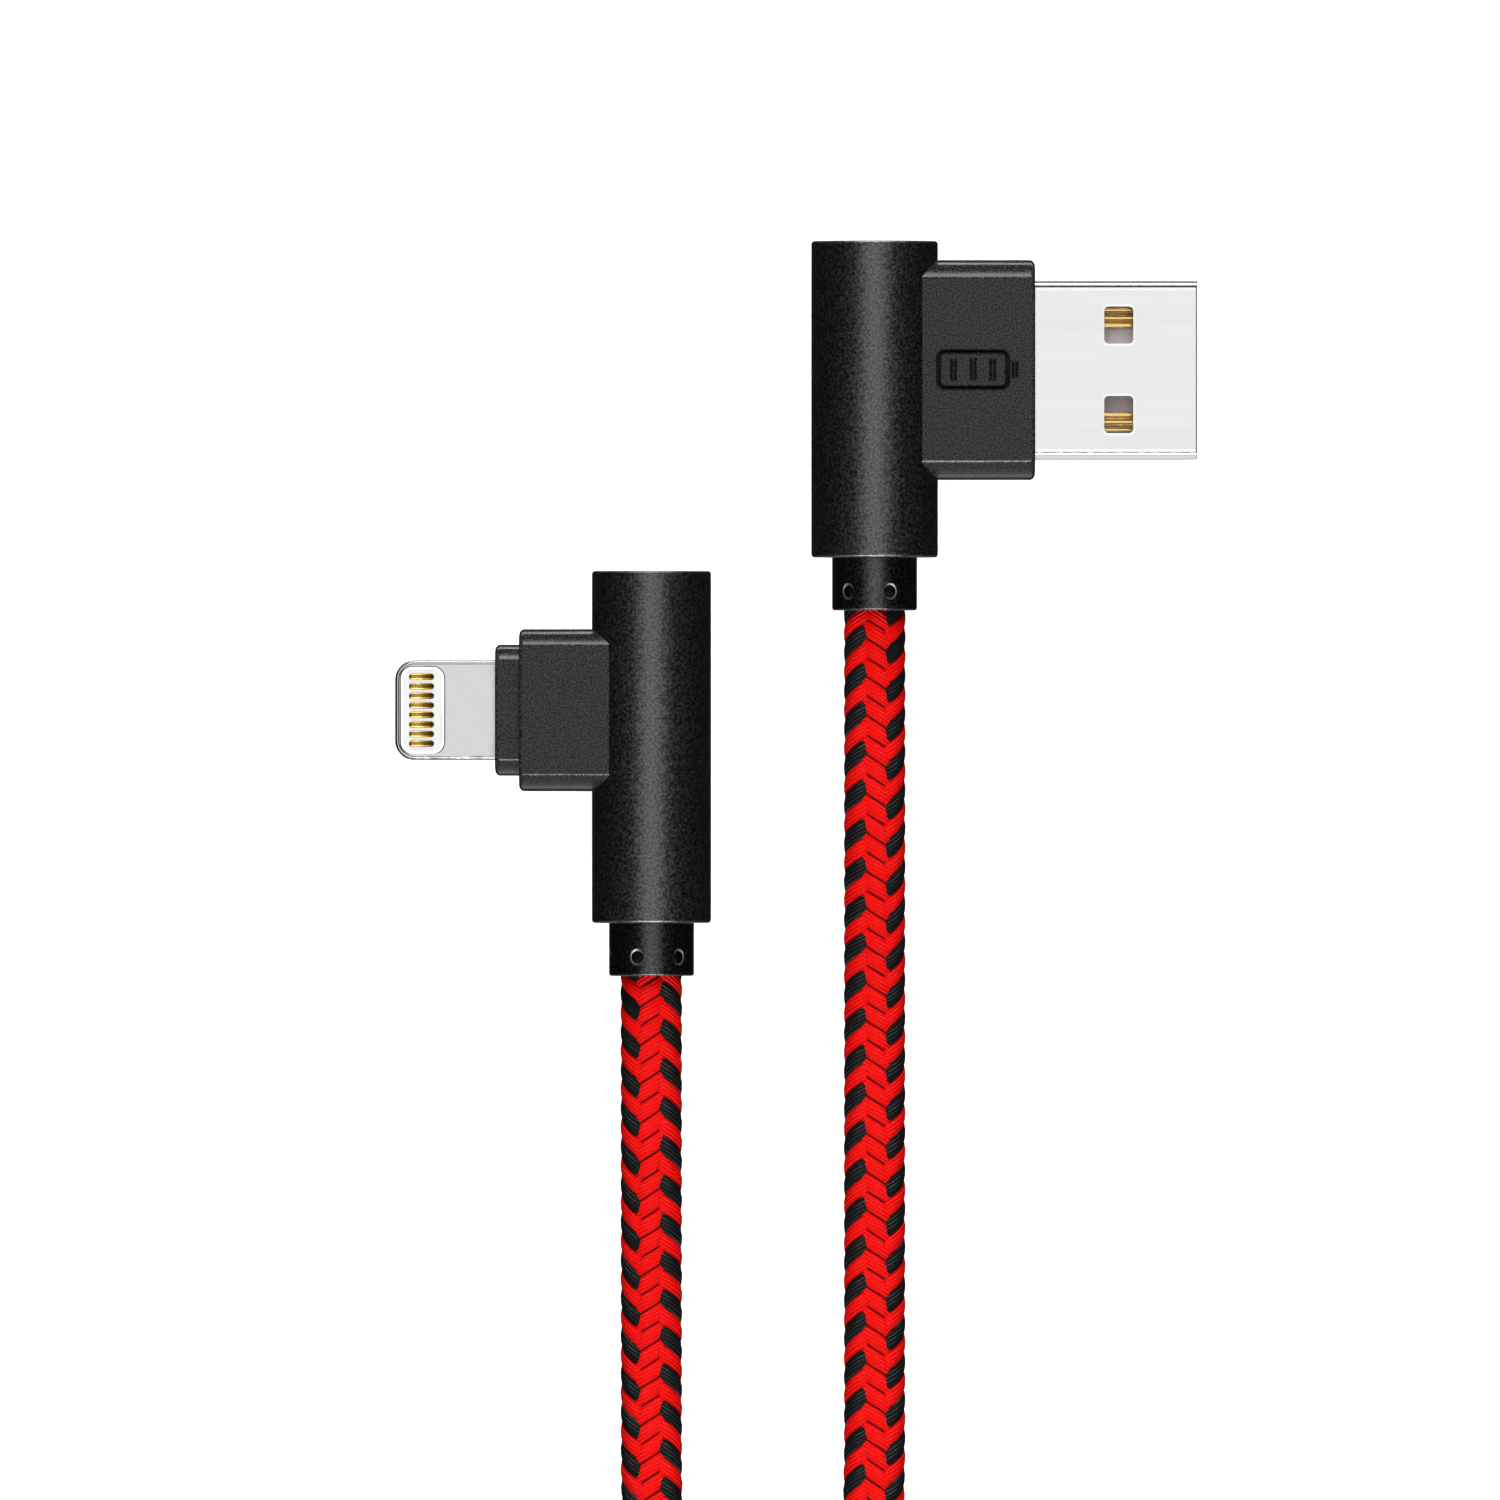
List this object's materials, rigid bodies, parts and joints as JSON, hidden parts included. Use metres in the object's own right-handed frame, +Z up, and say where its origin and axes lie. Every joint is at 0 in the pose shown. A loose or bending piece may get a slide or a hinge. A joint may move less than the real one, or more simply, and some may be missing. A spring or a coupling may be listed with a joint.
{
  "type": "charging cable",
  "caption": "Right-angle charging cable: USB-A plug and 8-pin phone plug with round black barrels, joined by a red and black braided cord wound in a coil.",
  "frame": {"origin": "middle of the two plugs' outline, on the surface that the cable lies on", "axes": "+X along the USB plug's shell towards its tip, +Y along both barrels away from the cord, +Z up from the surface"},
  "size_m": [0.0621, 0.1593, 0.0103],
  "materials": {
    "anodised_aluminium": "black bead-blasted and anodised, fine grain",
    "black_collar": "black, satin",
    "crimp_metal": "plain",
    "moulded_black": "black moulded plastic, fine matt grain",
    "plug_metal": "bright nickel-plated steel, fine grain",
    "white_plastic": "white moulded plastic",
    "inner_plastic": "plain, inside",
    "gold_contact": "gold plated",
    "board_green": "circuit board lacquer, inside",
    "red_insulation": "wire insulation, inside",
    "white_insulation": "wire insulation, inside",
    "green_insulation": "wire insulation, inside",
    "black_insulation": "wire insulation, inside",
    "red_black_braid": "braided red nylon yarn with black yarn woven in",
    "tie_fabric": "black hook-and-loop strap"
  },
  "bodies": {
    "cord": {"cord_usb_lead": "red_black_braid", "cord_phone_lead": "red_black_braid", "cord_coil": "red_black_braid", "cable_tie": "tie_fabric"},
    "usb_plug": {"usb_barrel": "anodised_aluminium", "usb_collar": "black_collar", "usb_braid_ferrule": "crimp_metal", "usb_cord_end": "black_collar", "usb_wire_red": "red_insulation", "usb_wire_white": "white_insulation", "usb_wire_green": "green_insulation", "usb_wire_black": "black_insulation", "usb_nose_block": "moulded_black", "usb_shell": "plug_metal", "usb_tongue": "white_plastic", "usb_inner_mould": "inner_plastic", "usb_contact_vbus": "gold_contact", "usb_contact_data_minus": "gold_contact", "usb_contact_data_plus": "gold_contact", "usb_contact_ground": "gold_contact"},
    "phone_plug": {"phone_barrel": "anodised_aluminium", "phone_collar": "black_collar", "phone_braid_ferrule": "crimp_metal", "phone_cord_end": "black_collar", "phone_wire_red": "red_insulation", "phone_wire_white": "white_insulation", "phone_wire_green": "green_insulation", "phone_wire_black": "black_insulation", "phone_nose_block": "moulded_black", "phone_plug_neck": "moulded_black", "phone_tab_frame": "plug_metal", "phone_tab_insert": "white_plastic", "phone_circuit_board": "board_green", "phone_charge_chip": "inner_plastic", "phone_contact_top_1": "gold_contact", "phone_contact_top_2": "gold_contact", "phone_contact_top_3": "gold_contact", "phone_contact_top_4": "gold_contact", "phone_contact_top_5": "gold_contact", "phone_contact_top_6": "gold_contact", "phone_contact_top_7": "gold_contact", "phone_contact_top_8": "gold_contact", "phone_contact_bottom_1": "gold_contact", "phone_contact_bottom_2": "gold_contact", "phone_contact_bottom_3": "gold_contact", "phone_contact_bottom_4": "gold_contact", "phone_contact_bottom_5": "gold_contact", "phone_contact_bottom_6": "gold_contact", "phone_contact_bottom_7": "gold_contact", "phone_contact_bottom_8": "gold_contact"}
  },
  "joints": [
    {"name": "usb_plug_lift", "type": "hinge", "parent": "cord", "child": "usb_plug", "pos_m": [0.00527, -0.014, 0.0034], "axis": [1, 0, 0], "range_deg": [0, 45], "deforming": ["cord_usb_lead"]},
    {"name": "phone_plug_lift", "type": "hinge", "parent": "cord", "child": "phone_plug", "pos_m": [-0.0097, -0.0385, 0.0032], "axis": [1, 0, 0], "range_deg": [0, 45], "deforming": ["cord_phone_lead"]}
  ]
}
